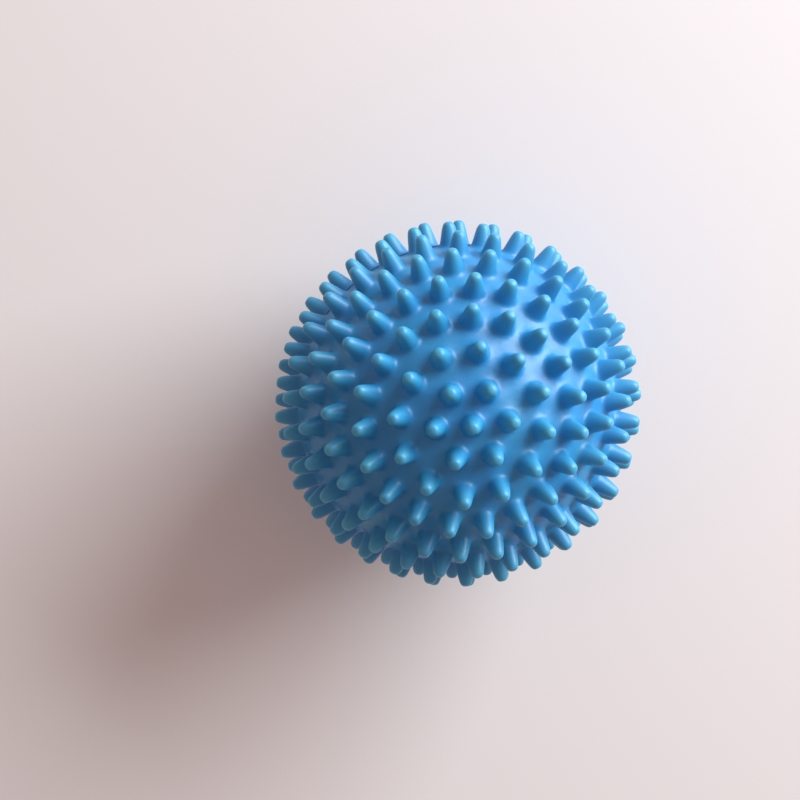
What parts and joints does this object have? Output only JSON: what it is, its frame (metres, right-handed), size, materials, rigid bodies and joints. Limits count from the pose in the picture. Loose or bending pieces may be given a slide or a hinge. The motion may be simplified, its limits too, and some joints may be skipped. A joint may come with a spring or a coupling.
{
  "type": "dryer ball",
  "caption": "Hollow ball with rings of tapered round-ended spikes that keeps laundry apart in a tumble dryer.",
  "frame": {"origin": "centre of the ball, on the mould axis and on the plane of the weld", "axes": "+Z along the mould axis towards the pole that has a spike, -Z towards the air plug; the weld lies in the XY plane"},
  "size_m": [0.0646, 0.0646, 0.0643],
  "materials": {
    "blue_pvc": "semi-gloss soft vinyl",
    "weld": "glossy re-melted vinyl",
    "plug_vinyl": "satin soft vinyl"
  },
  "bodies": {
    "root": {"upper_shell": "blue_pvc", "lower_shell": "blue_pvc", "weld_bead": "weld", "air_plug": "plug_vinyl"}
  },
  "joints": []
}
